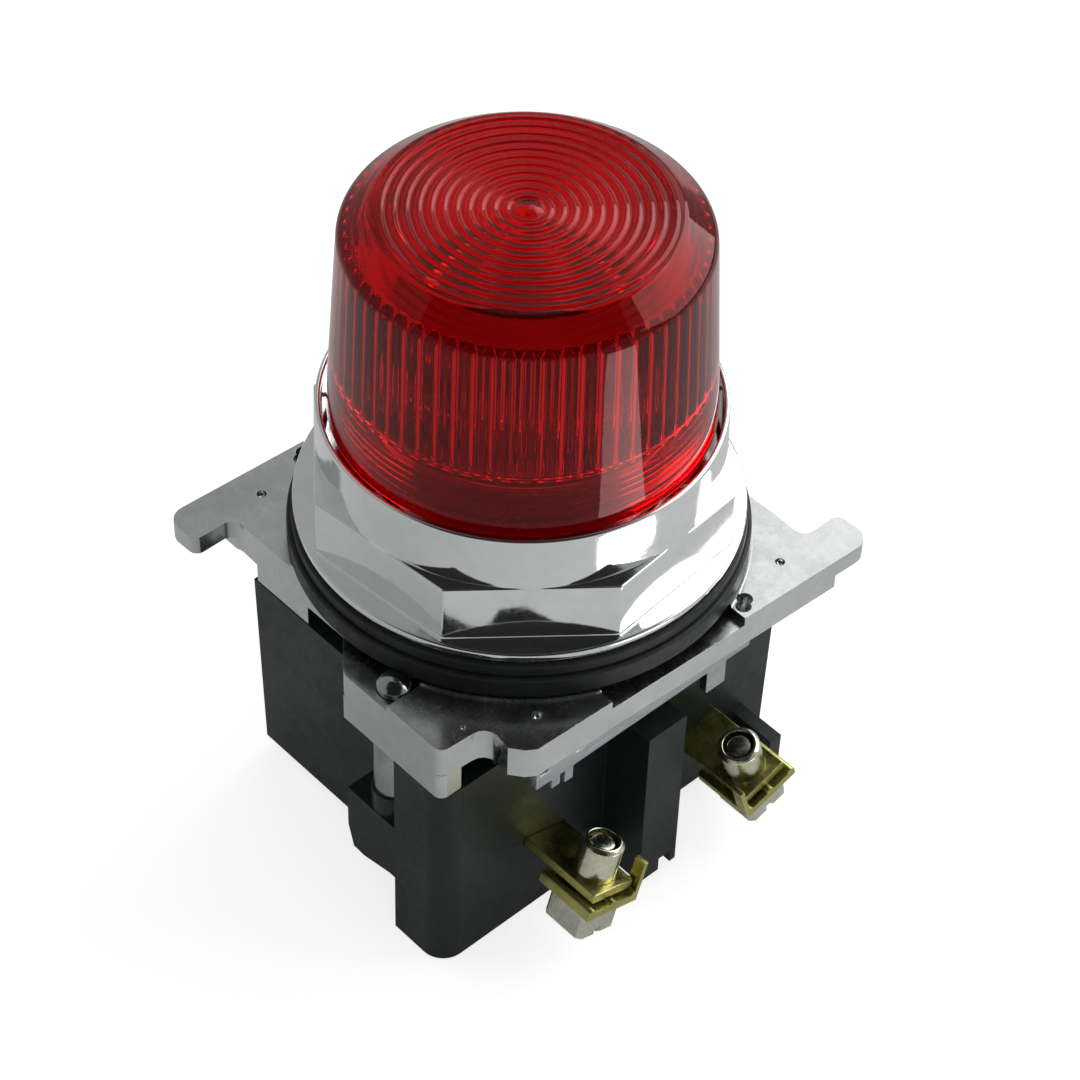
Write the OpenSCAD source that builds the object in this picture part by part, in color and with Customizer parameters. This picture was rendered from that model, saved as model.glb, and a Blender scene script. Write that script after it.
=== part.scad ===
// Panel pilot light: red lens, chrome octagonal bezel nut, die-cast base, lamp block with two wire clamps.
// Origin: on the lens axis, at the face of the rear gasket that seats on the back of the panel.
// +Z runs out through the lens, +X towards the wire terminals.

/* [Lens] */
// outside diameter of the lens at its open end
lens_base_d = 37.5; // [36:0.1:37.8]
// outside diameter of the lens at the foot of its rounded shoulder
lens_top_d = 34.9; // [33:0.1:36]
// diameter of the ringed disc on top of the lens
lens_disc_d = 28.4; // [26:0.1:29]
// height of the lens top above the panel seat
lens_top_z = 38.0; // [36:0.1:44]
// wall thickness of the lens
lens_wall = 2.1; // [1.6:0.1:2.6]

/* [Nut] */
// across-flats size of the octagonal nut
nut_af = 40.0; // [39.6:0.1:41]
// diameter of the round flange of the nut
flange_d = 44.6; // [44:0.1:46]
// height of the octagonal part of the nut
nut_oct_h = 6.6; // [5:0.1:7]
// height of the nut rim above the panel seat
nut_rim_z = 15.3; // [14.8:0.1:16]

/* [Gaskets] */
// thickness of the gasket under the nut
front_gasket_t = 1.5; // [1:0.1:2]
// thickness of the gasket on the base
rear_gasket_t = 2.4; // [1.6:0.1:3]
// outside diameter of the rear gasket
gasket_d = 45.9; // [45:0.1:46.4]

/* [Barrel] */
// outside diameter of the threaded barrel that passes the panel hole
barrel_d = 29.8; // [29.4:0.05:30]
// radial running clearance of the threads on the barrel
thread_clear = 0.08; // [0.05:0.01:0.1]
// bore of the barrel
barrel_bore_d = 25.2; // [24:0.1:26]

/* [Base plate] */
// size of the base plate along X
plate_x = 48.2; // [47.8:0.1:49]
// size of the base plate along Y without its ears
plate_y = 40.9; // [40.6:0.1:42]
// thickness of the base plate at its raised corners
plate_t = 3.8; // [3.2:0.1:4.4]
// distance between the tips of the two ears along Y
ear_span = 50.8; // [50:0.1:54]
// width of each ear
ear_w = 4.5; // [4:0.1:5]
// depth of the skirts of the screw lugs below the panel seat
skirt_z = 9.6; // [9.2:0.1:10]

/* [Lamp block] */
// size of the lamp block along X
block_x = 34.4; // [33:0.1:36]
// size of the lamp block along Y
block_y = 40.2; // [39.6:0.1:40.6]
// distance from the panel seat to the rear face of the lamp block
block_z = 35.3; // [34.6:0.1:40]
// distance of each mounting screw from the lens axis along X
screw_x = 7.6; // [7:0.1:8]

/* [Terminals] */
// distance of the terminal screws from the lens axis along X
term_x = 24.2; // [23.9:0.1:25]
// spacing of the two terminals along Y
term_pitch = 22.6; // [21:0.1:24]
// size of the square clamp saddle
saddle_w = 7.0; // [6.6:0.1:8]
// lean of each terminal screw away from the middle barrier, in degrees
term_lean = 17; // [10:1:20]
// diameter of the terminal screw thread
term_screw_d = 3.0; // [2.5:0.1:3.2]

/* [Lamp] */
// diameter of the bulb glass
bulb_d = 10.3; // [9:0.1:11]
// diameter of the bulb base
bulb_base_d = 9.2; // [9:0.05:9.3]

/* [Hidden] */
$fn = 64;
// barrel, seal and lens skirt
barrel_r = barrel_d / 2;
thread_r = barrel_r + thread_clear;
bore_r = barrel_bore_d / 2;
barrel_top = 19.3;
seal_t = 1.0;
seal_gap = 0.05;
seal_r1 = thread_r + 1.25;
seal_r0 = thread_r - 1.55;
// lens
lens_z0 = 14.6;
lens_grooves = 60;
rib_r = lens_top_d / 2 - lens_wall + 0.55;
rib_depth = 0.55;
lens_roof = 2.4;
rib_z0 = barrel_top + seal_t + 0.25;
core_r = lens_disc_d / 2 - 2.2;
rings = 11;
ring_pitch = 1.14;
ring_rise = 0.24;
// nut
nut_turn = 5.6;
washer_t = 0.5;
flange_z = front_gasket_t + washer_t;
flange_t = 0.8;
oct_r = nut_af / 2 / cos(22.5);
oct_top = flange_z + flange_t + nut_oct_h;
cup_floor = oct_top - 0.6;
cup_r = lens_base_d / 2 + 0.5;
// base plate
pad_z = -rear_gasket_t - 0.3;
low_z = pad_z - 0.65;
side_low_z = pad_z - 1.0;
plate_bot = pad_z - plate_t;
ear_t = 2.2;
px = plate_x / 2;
py = plate_y / 2;
side_lean = 1.5;
ear_y = ear_span / 2;
lug_y = ear_y - 0.1;
lug_x0 = 2.7;
lug_x1 = 17.1;
side_skirt_z = 8.9;
skirt_t = 1.5;
screw_y = lug_y - 2.5;
screw_r = 1.7;
post_r = 2.1;
// sheet plate
sheet_t = 1.0;
sheet_z = plate_bot - sheet_t;
flange_x = px - 1.7;
sheet_y0 = -17.9;
sheet_y1 = 10.6;
// lamp block
bx = block_x / 2;
by = block_y / 2;
wall = 2.4;
house_top = -skirt_z - 0.15;
foot_z = -block_z + 1.3;
ledge_z = -20.0;
collar_z = -17.2;
boss_z = -26.0;
lug_col_x = 10.2;
cavity_z = -12.4;
tower_r = bore_r - 3.2;
tower_top = 7.0;
insulator_r = 7.5;
insulator_z0 = -7.0;
insulator_z1 = 6.0;
spring_room_r = 4.4;
cover_t = 1.7;
// terminals: the local origin of each is on its screw axis, under the saddle
term_y0 = -0.9;
term_a = term_y0 - term_pitch / 2;
term_b = term_y0 + term_pitch / 2;
term_z = -27.5;
strap_u = 1.9;
strap_t = 1.0;
strap_w = 5.6;
bush_r = 2.2;
bush_h = 4.1;
saddle_u = 0.3;
saddle_t = 1.3;
head_w = 5.2;
head_h = 4.0;
ts_r = term_screw_d / 2;
// lamp
bulb_r = bulb_d / 2;
bulb_base_r = bulb_base_d / 2;
bulb_z0 = 5.0;
bulb_base_top = 14.5;
bulb_top = 32.0;
pin_z = 10.0;
pin_r = 0.75;
socket_ri = bulb_base_r + 0.3;
socket_ro = socket_ri + 0.6;
socket_z0 = -1.5;
socket_top = 12.6;
spring_z0 = -5.0;
spring_z1 = 2.6;
spring_turns = 5;
lead_r = 0.8;
lead_x = 12.5;
lead_za = -15.6;
lead_zb = -18.5;
tab_x = 4.6;
strap_mid = (strap_u + strap_t) * sin(term_lean);
lead_z0 = term_z + (strap_u + strap_t) * cos(term_lean) + lead_r * tan(term_lean);
lead_ya = term_a + strap_mid;
lead_yb = term_b - strap_mid;

// ring from radius r0 to r1 between two heights
module ring(r1, r0, z0, z1) {
    difference() {
        translate([0, 0, z0]) cylinder(r = r1, h = z1 - z0, $fn = 96);
        translate([0, 0, z0 - 1]) cylinder(r = r0, h = z1 - z0 + 2, $fn = 96);
    }
}

// block between two corners
module blk(a, b) {
    translate(a) cube([b[0] - a[0], b[1] - a[1], b[2] - a[2]]);
}

// points of an arc
function arc(cx, cy, r, a0, a1, n) = [for (i = [0:n]) let (a = a0 + (a1 - a0) * i / n)
    [cx + r * cos(a), cy + r * sin(a)]];

// one ring ridge of the top disc, as four profile points
function ridge(r) = [[r + 0.5, lens_top_z - 0.02], [r + 0.18, lens_top_z + ring_rise],
    [r - 0.08, lens_top_z + ring_rise], [r - 0.42, lens_top_z - 0.02]];

// ribbed bore of the lens: shallow grooves side by side around the wall
module lens_bore() {
    translate([0, 0, rib_z0])
        linear_extrude(height = lens_top_z - lens_roof - 0.3 - rib_z0)
            polygon([for (i = [0:2 * lens_grooves - 1])
                let (a = i * 180 / lens_grooves, r = i % 2 == 0 ? rib_r : rib_r + rib_depth)
                    [r * cos(a), r * sin(a)]]);
}

module lens() {
    rb = lens_base_d / 2;
    rt = lens_top_d / 2;
    rd = lens_disc_d / 2;
    zs = lens_top_z - 2.8;
    color([0.75, 0.02, 0.03, 0.55])
        difference() {
            rotate_extrude($fn = 96)
                polygon(concat([[thread_r, lens_z0], [rb - 0.3, lens_z0], [rb, lens_z0 + 0.5],
                    [rt, zs], [rt - 0.16, zs + 0.45], [rd + 0.4, lens_top_z - 0.26],
                    [rd + 0.05, lens_top_z - 0.06], [rd - 0.3, lens_top_z - 0.02]],
                    [for (i = [rings:-1:1]) each ridge(0.8 + i * ring_pitch)],
                    [[1.3, lens_top_z], [0.7, lens_top_z + 0.3], [0, lens_top_z + 0.4],
                    [0, lens_top_z - lens_roof], [core_r, lens_top_z - lens_roof], [core_r, rib_z0 + 0.15],
                    [rib_r - 0.2, rib_z0 + 0.15], [rib_r - 0.2, barrel_top + seal_t + 0.1],
                    [seal_r1 + 0.4, barrel_top + seal_t + 0.1],
                    [seal_r1 + 0.4, barrel_top], [thread_r, barrel_top]]));
            lens_bore();
        }
}

module lens_seal() {
    color([0.03, 0.03, 0.03])
        ring(seal_r1, seal_r0, barrel_top + seal_gap, barrel_top + seal_t + seal_gap);
}

module bezel_nut() {
    color([0.86, 0.87, 0.88])
        difference() {
            union() {
                translate([0, 0, flange_z]) cylinder(r = flange_d / 2, h = flange_t, $fn = 96);
                translate([0, 0, flange_z + flange_t - 0.1])
                    rotate([0, 0, 22.5 + nut_turn]) cylinder(r = oct_r, h = nut_oct_h + 0.1, $fn = 8);
                translate([0, 0, oct_top - 0.2])
                    cylinder(r1 = nut_af / 2 - 0.06, r2 = nut_af / 2 - 0.2,
                        h = nut_rim_z - oct_top + 0.2, $fn = 96);
            }
            translate([0, 0, 0]) cylinder(r = thread_r, h = 20, $fn = 96);
            translate([0, 0, cup_floor]) cylinder(r = cup_r, h = 20, $fn = 96);
            translate([0, 0, nut_rim_z - 0.25])
                cylinder(r1 = cup_r - 0.01, r2 = cup_r + 0.3, h = 0.3, $fn = 96);
        }
}

module nut_washer() {
    color([0.7, 0.72, 0.73])
        ring(flange_d / 2 - 0.25, barrel_r + 0.4, front_gasket_t, flange_z);
}

module front_gasket() {
    color([0.03, 0.03, 0.03])
        ring(gasket_d / 2 - 0.45, barrel_r + 0.35, 0, front_gasket_t);
}

module rear_gasket() {
    color([0.03, 0.03, 0.03])
        ring(gasket_d / 2, barrel_r + 0.35, -rear_gasket_t, 0);
}

// half of the plate outline: front side with its screw lug, then the leaning right side and its ear
half_outline = concat(
    [[-px + ear_w + 3.9, -py - 0.1], [-9.6, -py], [-1.6, -py], [-1.2, -py - 1.2], [0.2, -py - 2.4],
    [lug_x0 - 1.1, -lug_y + 1.2], [lug_x0, -lug_y + 0.3], [lug_x0 + 0.6, -lug_y]],
    arc(lug_x1 - 1.0, -lug_y + 1.0, 1.0, -90, 0, 4),
    arc(lug_x1 + 1.7, -py - 1.0, 1.55, 180, 90, 4),
    [[lug_x1 + 3.6, -py + 0.3], [px - 2.1, -py + 1.3], [px - side_lean + 0.05, -py + 2.3]],
    arc(px - 1.9, ear_y - 1.9, 1.9, 0, 85, 6),
    arc(px - ear_w + 1.0, ear_y - 1.1, 1.05, 95, 170, 4),
    [[px - ear_w, py + 1.4]],
    arc(px - ear_w - 1.3, py + 1.3, 1.3, -10, -90, 4));

module plate_2d() {
    polygon(concat(half_outline, [for (p = half_outline) [-p[0], -p[1]]]));
}

// features of the base plate that repeat after half a turn
module base_side() {
    blk([lug_x0 + 0.3, -lug_y, -skirt_z], [lug_x1 - 0.9, -lug_y + skirt_t, plate_bot + 0.1]);
    blk([lug_x1 - skirt_t, -lug_y + 0.9, -skirt_z], [lug_x1, -lug_y + 2.6, plate_bot + 0.1]);
    translate([lug_x1 - 0.95, -lug_y + 0.95, -skirt_z])
        cylinder(r = 0.95, h = skirt_z + plate_bot + 0.1, $fn = 32);
    blk([lug_x0 + 0.3, -lug_y + skirt_t - 0.1, -skirt_z], [lug_x0 + 1.2, -py - 0.6, plate_bot + 0.1]);
    blk([-16.1, -py, -side_skirt_z], [-8.2, -py + skirt_t, plate_bot + 0.1]);
}

// hollows and holes of the base plate that repeat after half a turn
module base_side_cuts() {
    blk([-2, -lug_y - 1, low_z], [9.4, -py + 0.5, 1]);
    blk([19.0, -8.9, side_low_z], [px + 1, 8.2, 1]);
    blk([px - ear_w - 1.4, py + 0.2, plate_bot - 1], [px + 1, ear_y + 1, pad_z - ear_t]);
    translate([screw_x, -screw_y, plate_bot - 1]) cylinder(r = screw_r + 0.08, h = plate_t + 2);
    // room for the post of the screw behind the skirt
    translate([screw_x, -screw_y, -skirt_z - 1])
        cylinder(r = post_r + 0.06, h = skirt_z + 1 + plate_bot, $fn = 48);
    translate([px - 1.8, 9.2, plate_bot - 1]) cylinder(r = 0.8, h = plate_t + 2, $fn = 24);
    translate([px - 2.4, 10.0, plate_bot - 1]) cylinder(r = 0.8, h = plate_t + 2, $fn = 24);
    translate([20.4, 16.2, pad_z]) sphere(r = 0.5, $fn = 24);
    translate([19.6, -15.4, pad_z]) sphere(r = 0.55, $fn = 24);
    translate([16.1, -21.6, pad_z]) sphere(r = 0.35, $fn = 24);
}

module operator_base() {
    color([0.72, 0.74, 0.75])
        difference() {
            union() {
                difference() {
                    union() {
                        translate([0, 0, plate_bot]) linear_extrude(height = plate_t) plate_2d();
                        intersection() {
                            translate([0, 0, plate_bot + 1]) linear_extrude(height = plate_t) plate_2d();
                            translate([0, 0, pad_z - 0.5])
                                cylinder(r = gasket_d / 2 + 0.2, h = 0.5 - pad_z - rear_gasket_t, $fn = 96);
                        }
                        base_side();
                        rotate([0, 0, 180]) base_side();
                    }
                    base_side_cuts();
                    rotate([0, 0, 180]) base_side_cuts();
                }
                translate([0, 0, plate_bot + 0.5])
                    cylinder(r = barrel_r, h = barrel_top - plate_bot - 0.5, $fn = 96);
            }
            translate([0, 0, plate_bot - 1]) cylinder(r = bore_r, h = 40, $fn = 96);
            translate([0, 0, barrel_top - 0.5])
                cylinder(r1 = bore_r - 0.01, r2 = bore_r + 0.5, h = 0.51, $fn = 96);
        }
}

module sheet_side() {
    difference() {
        union() {
            blk([-flange_x + 0.2, sheet_y0, sheet_z], [flange_x, sheet_y1, plate_bot]);
            blk([flange_x - 1.0, sheet_y0, sheet_z - 1.6], [flange_x, sheet_y1, plate_bot]);
            blk([flange_x - 1.0, -15.9, sheet_z - 2.9], [flange_x, -14.8, sheet_z]);
            blk([flange_x - 1.0, -14.2, sheet_z - 3.3], [flange_x, -13.1, sheet_z]);
            blk([flange_x - 1.0, 4.8, sheet_z - 4.6], [flange_x, 7.4, sheet_z]);
        }
        for (y = [-16.9, -12.4, -6.6, -3.8, 1.8, 8.8])
            blk([flange_x - 0.3, y - 0.5, plate_bot - 0.9], [flange_x + 1, y + 0.5, plate_bot + 1]);
    }
}

module mounting_plate() {
    color([0.5, 0.53, 0.54])
        difference() {
            union() {
                sheet_side();
                rotate([0, 0, 180]) sheet_side();
            }
            translate([0, 0, sheet_z - 10]) cylinder(r = tower_r + 1.6, h = 30, $fn = 96);
        }
}

module block_side() {
    // lug column with the front leg
    difference() {
        union() {
            translate([0, -by + 0.5, 0]) rotate([90, 0, 0])
                linear_extrude(height = lug_y - by + 0.4)
                    polygon([[lug_x0 + 0.4, house_top], [lug_x0 + 0.4, boss_z + 0.4], [lug_x0 + 1.2, -28.4],
                        [lug_x0 + 2.8, -28.5], [9.4, -27.6], [12, -27.6], [12, house_top]]);
            blk([lug_col_x, -lug_y + 0.1, -block_z], [bx - 2.6, -by + 0.5, house_top]);
            blk([bx - 2.7, -lug_y + 2.7, -block_z], [bx, -by + 0.5, house_top]);
            translate([bx - 2.6, -lug_y + 2.7, -block_z])
                cylinder(r = 2.6, h = block_z + house_top, $fn = 48);
            blk([lug_col_x, -by + 0.4, -block_z], [bx, -3.0, foot_z + 2]);
        }
        blk([lug_x0 - 1, -lug_y - 1, ledge_z], [lug_col_x, -by + 1.2, 0]);
    }
}

module block_side_cuts() {
    translate([screw_x, -screw_y, boss_z - 1.2]) cylinder(r = screw_r + 0.02, h = 25);
    blk([lug_x0 + 0.4, -by - 1, ledge_z], [lug_col_x, -by + 1.6, house_top + 1]);
    // draft of the long wall
    translate([-bx - 1, -by, house_top]) rotate([1.4, 0, 0])
        translate([0, -3, -block_z]) cube([bx + lug_x0 + 1.2, 3, block_z + 1]);
}

// frame of one terminal: screw axis leaning away from the middle barrier
module term_frame(y, s) {
    translate([term_x, y, term_z]) rotate([s * term_lean, 0, 0]) children();
}

module lamp_housing() {
    color([0.03, 0.035, 0.035])
        difference() {
            union() {
                difference() {
                    union() {
                        blk([-bx, -by, foot_z], [bx, by, house_top]);
                        blk([-bx + 0.2, -by + 1.7, cavity_z], [bx - 0.2, by - 1.7, sheet_z]);
                        block_side();
                        rotate([0, 0, 180]) block_side();
                    }
                    block_side_cuts();
                    rotate([0, 0, 180]) block_side_cuts();
                }
                for (a = [0, 180])
                    rotate([0, 0, a]) difference() {
                        translate([screw_x, -screw_y, ledge_z - 0.2])
                            cylinder(r = post_r + 0.25, h = collar_z - ledge_z + 0.2, $fn = 48);
                        translate([screw_x, -screw_y, ledge_z - 1])
                            cylinder(r = screw_r + 0.02, h = 10);
                    }
                // middle and end barriers of the terminals
                blk([bx - 0.5, -3.4, foot_z - 0.5], [23.0, 1.7, cavity_z - 0.1]);
                blk([bx - 0.5, 15.2, -31.0], [22.7, 16.8, -27.0]);
                translate([0, 0, cavity_z]) cylinder(r = tower_r, h = tower_top - cavity_z, $fn = 96);
            }
            // cavity, open to the rear
            blk([-bx + wall, -by + wall + 0.2, -block_z - 1], [bx - wall, by - wall - 0.2, cavity_z]);
            translate([0, 0, insulator_z0 - 0.05]) cylinder(r = insulator_r + 0.1, h = 40, $fn = 96);
            translate([0, 0, -20]) cylinder(r = insulator_r - 0.9, h = 40, $fn = 96);
            // seat of the rear cover
            blk([-bx + 1.2, -by + 1.6, -block_z - 1], [bx - 1.2, by - 1.6, foot_z + cover_t + 0.2]);
            // notch in the foot of the middle barrier
            blk([21.0, -0.7, -block_z - 1], [24, 0.9, foot_z + 1.2]);
            // wall slots for the terminal straps
            for (t = [[term_a, -1], [term_b, 1]])
                term_frame(t[0], t[1])
                    blk([bx - 4 - term_x, -strap_w / 2 - 0.1, strap_u - 0.1],
                        [bx + 1 - term_x, strap_w / 2 + 0.1, strap_u + strap_t + 0.1]);
        }
}

module rear_cover() {
    color([0.05, 0.05, 0.05])
        blk([-bx + 1.35, -by + 1.75, foot_z + 0.2], [bx - 1.35, by - 1.75, foot_z + 0.2 + cover_t]);
}

module one_screw() {
    translate([screw_x, -screw_y, collar_z]) cylinder(r = post_r, h = plate_bot - collar_z, $fn = 48);
    translate([screw_x, -screw_y, boss_z - 1.0])
        cylinder(r = screw_r, h = low_z + 1.7 - boss_z, $fn = 48);
    translate([screw_x, -screw_y, low_z + 0.7]) cylinder(r1 = screw_r, r2 = 1.35, h = 0.4, $fn = 48);
    translate([screw_x, -screw_y, low_z + 1.1]) cylinder(r1 = 1.35, r2 = 0.5, h = 0.45, $fn = 48);
}

module mounting_screws() {
    color([0.62, 0.66, 0.66]) {
        one_screw();
        rotate([0, 0, 180]) one_screw();
    }
}

// straight runs of insulated lead wire along X, Y or Z, with square corners
module run_x(x0, x1, y, z) {
    translate([x0 - 0.7, y, z]) rotate([0, 90, 0]) cylinder(r = lead_r, h = x1 - x0 + 1.4, $fn = 24);
}

module run_y(y0, y1, x, z) {
    translate([x, y1 + 0.7, z]) rotate([90, 0, 0]) cylinder(r = lead_r, h = y1 - y0 + 1.4, $fn = 24);
}

module run_z(z0, z1, x, y) {
    translate([x, y, z0]) cylinder(r = lead_r, h = z1 - z0, $fn = 24);
}

module lamp_lead_a() {
    color([0.7, 0.1, 0.08])
        union() {
            run_z(lead_z0, lead_za + 0.6, lead_x, lead_ya);
            run_x(tab_x, lead_x, lead_ya, lead_za);
            run_y(lead_ya, 0, tab_x, lead_za);
            run_z(lead_za - 0.4, insulator_z0 - 0.05, tab_x, 0);
        }
}

module lamp_lead_b() {
    color([0.1, 0.1, 0.1])
        union() {
            run_z(lead_z0, lead_zb + 0.6, lead_x, lead_yb);
            run_x(0, lead_x, lead_yb, lead_zb);
            run_y(0, lead_yb, 0, lead_zb);
            run_z(lead_zb - 0.4, spring_z0, 0, 0);
        }
}

// bayonet slot: entry, run and hook
module bayonet_slot() {
    w = pin_r + 0.15;
    z0 = pin_z - 2.9;
    blk([socket_ri - 1, -w, z0], [socket_ro + 1, w, 20]);
    for (a = [0:5:25])
        rotate([0, 0, a]) blk([socket_ri - 1, -w, z0], [socket_ro + 1, w, pin_z - 1.0]);
    rotate([0, 0, 25]) blk([socket_ri - 1, -w, z0], [socket_ro + 1, w, pin_z + 0.85]);
}

module lamp_socket() {
    color([0.75, 0.62, 0.3])
        difference() {
            union() {
                ring(socket_ro, socket_ri, socket_z0, socket_top);
                ring(insulator_r, socket_ri, insulator_z1, insulator_z1 + 1.0);
            }
            bayonet_slot();
            rotate([0, 0, 180]) bayonet_slot();
        }
}

module socket_insulator() {
    color([0.32, 0.2, 0.12]) {
        difference() {
            translate([0, 0, insulator_z0])
                cylinder(r = insulator_r, h = insulator_z1 - insulator_z0, $fn = 96);
            translate([0, 0, socket_z0]) cylinder(r = socket_ro, h = 20, $fn = 96);
            translate([0, 0, spring_z0]) cylinder(r = spring_room_r, h = 20, $fn = 96);
            translate([0, 0, -10]) cylinder(r = lead_r + 0.05, h = 20);
        }
    }
}

module centre_contact() {
    color([0.78, 0.63, 0.28])
        union() {
            translate([0, 0, spring_z1]) cylinder(r = 2.7, h = 1.2);
            translate([0, 0, -2.6]) cylinder(r = 1.1, h = spring_z1 + 2.7);
        }
}

module contact_spring() {
    color([0.6, 0.62, 0.63])
        translate([0, 0, spring_z0])
            linear_extrude(height = spring_z1 - spring_z0, twist = -360 * spring_turns,
                slices = 14 * spring_turns, $fn = 12)
                polygon([for (t = [0:30:330])
                    [(2.0 + 0.28 * cos(t)) * cos(70 * sin(t)), (2.0 + 0.28 * cos(t)) * sin(70 * sin(t))]]);
}

module bulb_glass() {
    color([0.9, 0.92, 0.94, 0.35])
        rotate_extrude($fn = 64)
            polygon(concat([[0, bulb_base_top - 1.0], [bulb_base_r - 0.5, bulb_base_top - 1.0],
                [bulb_base_r - 0.5, bulb_base_top + 0.6], [bulb_r, bulb_base_top + 2.4]],
                [for (a = [0:15:90]) [bulb_r * cos(a), bulb_top - bulb_r + bulb_r * sin(a)]],
                [for (a = [90:-15:0]) [(bulb_r - 0.6) * cos(a), bulb_top - bulb_r + (bulb_r - 0.6) * sin(a)]],
                [[bulb_r - 0.6, bulb_base_top + 2.6], [1.2, bulb_base_top + 2.6], [1.2, bulb_base_top + 5.0],
                [0, bulb_base_top + 5.0]]));
}

module bulb_base() {
    color([0.78, 0.7, 0.45])
        union() {
            difference() {
                translate([0, 0, bulb_z0]) cylinder(r = bulb_base_r, h = bulb_base_top - bulb_z0);
                translate([0, 0, bulb_base_top - 1.0]) cylinder(r = bulb_base_r - 0.5, h = 2);
            }
            for (a = [25, 205])
                rotate([0, 0, a]) translate([bulb_base_r - 0.5, 0, pin_z])
                    rotate([0, 90, 0]) cylinder(r = pin_r, h = 1.3, $fn = 24);
        }
}

module bulb_contact() {
    color([0.7, 0.71, 0.72])
        union() {
            translate([0, 0, bulb_z0 - 0.6]) cylinder(r = 3.0, h = 0.6, $fn = 32);
            translate([0, 0, spring_z1 + 1.2])
                cylinder(r1 = 1.2, r2 = 1.6, h = bulb_z0 - spring_z1 - 1.8, $fn = 32);
        }
}

module filament() {
    fz = bulb_base_top + 11.0;
    color([0.5, 0.5, 0.5])
        union() {
            for (x = [-1.8, 1.8])
                translate([x * 0.4, 0, bulb_base_top + 5.05])
                    rotate([0, x < 0 ? -9 : 9, 0]) cylinder(r = 0.2, h = 6.0, $fn = 16);
            translate([-1.85, 0, fz]) rotate([0, 90, 0]) cylinder(r = 0.3, h = 3.7, $fn = 16);
        }
}

module terminal_strap(y, s) {
    color([0.6, 0.56, 0.3])
        term_frame(y, s)
            difference() {
                blk([lead_x - 1.5 - term_x, -strap_w / 2, strap_u], [2.9, strap_w / 2, strap_u + strap_t]);
                translate([0, 0, -10]) cylinder(r = bush_r - 0.3, h = 30, $fn = 48);
            }
}

module terminal_strap_a() {
    terminal_strap(term_a, -1);
}

module terminal_strap_b() {
    terminal_strap(term_b, 1);
}

// threaded bush riveted into the strap
module terminal_bush(y, s) {
    u = strap_u + strap_t;
    color([0.7, 0.7, 0.62])
        term_frame(y, s)
            difference() {
                union() {
                    translate([0, 0, strap_u]) cylinder(r = bush_r - 0.3, h = strap_t + 0.1, $fn = 48);
                    translate([0, 0, u]) cylinder(r = bush_r, h = bush_h - 0.4, $fn = 48);
                    translate([0, 0, u + bush_h - 0.4])
                        cylinder(r1 = bush_r, r2 = bush_r - 0.35, h = 0.4, $fn = 48);
                }
                translate([0, 0, -10]) cylinder(r = ts_r + 0.08, h = 30);
            }
}

module terminal_bush_a() {
    terminal_bush(term_a, -1);
}

module terminal_bush_b() {
    terminal_bush(term_b, 1);
}

// square saddle with rolled edges and one upturned finger beside the strap
module saddle(y, s) {
    h = saddle_w / 2;
    color([0.55, 0.52, 0.26])
        term_frame(y, s)
            difference() {
                union() {
                    blk([-h, -h, saddle_u], [h, h, saddle_u + saddle_t - 0.4]);
                    for (k = [-h + 0.5, 0, h - 0.5])
                        translate([-h, k, saddle_u + saddle_t - 0.5]) rotate([0, 90, 0])
                            cylinder(r = 0.5, h = saddle_w, $fn = 24);
                    blk([h - 1.3, -s * (h - 0.25) - 0.25, saddle_u],
                        [h, -s * (h - 0.25) + 0.25, strap_u + strap_t + 2.3]);
                }
                translate([0, 0, -10]) cylinder(r = ts_r + 0.3, h = 30);
            }
}

module saddle_a() {
    saddle(term_a, -1);
}

module saddle_b() {
    saddle(term_b, 1);
}

module terminal_screw(y, s) {
    h = head_w / 2;
    color([0.78, 0.78, 0.7])
        term_frame(y, s)
            difference() {
                union() {
                    translate([0, 0, saddle_u - 0.1])
                        cylinder(r = ts_r, h = strap_u + strap_t + bush_h - 1.6 - saddle_u, $fn = 48);
                    translate([0, 0, saddle_u - head_h + 0.4]) linear_extrude(height = head_h - 0.4)
                        polygon([[-h, -h + 0.5], [-h + 0.5, -h], [h - 0.5, -h], [h, -h + 0.5],
                            [h, h - 0.5], [h - 0.5, h], [-h + 0.5, h], [-h, h - 0.5]]);
                    translate([0, 0, saddle_u - head_h]) cylinder(r1 = h - 0.4, r2 = h, h = 0.45, $fn = 48);
                }
                blk([-h - 1, -0.45, saddle_u - head_h - 1], [h + 1, 0.45, saddle_u - head_h + 1.1]);
            }
}

module terminal_screw_a() {
    terminal_screw(term_a, -1);
}

module terminal_screw_b() {
    terminal_screw(term_b, 1);
}

lens();
lens_seal();
bezel_nut();
nut_washer();
front_gasket();
rear_gasket();
operator_base();
mounting_plate();
lamp_housing();
rear_cover();
mounting_screws();
lamp_lead_a();
lamp_lead_b();
lamp_socket();
socket_insulator();
centre_contact();
contact_spring();
bulb_glass();
bulb_base();
bulb_contact();
filament();
terminal_strap_a();
terminal_strap_b();
terminal_bush_a();
terminal_bush_b();
saddle_a();
saddle_b();
terminal_screw_a();
terminal_screw_b();
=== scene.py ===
import math

import bpy
from mathutils import Matrix, Vector


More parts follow.
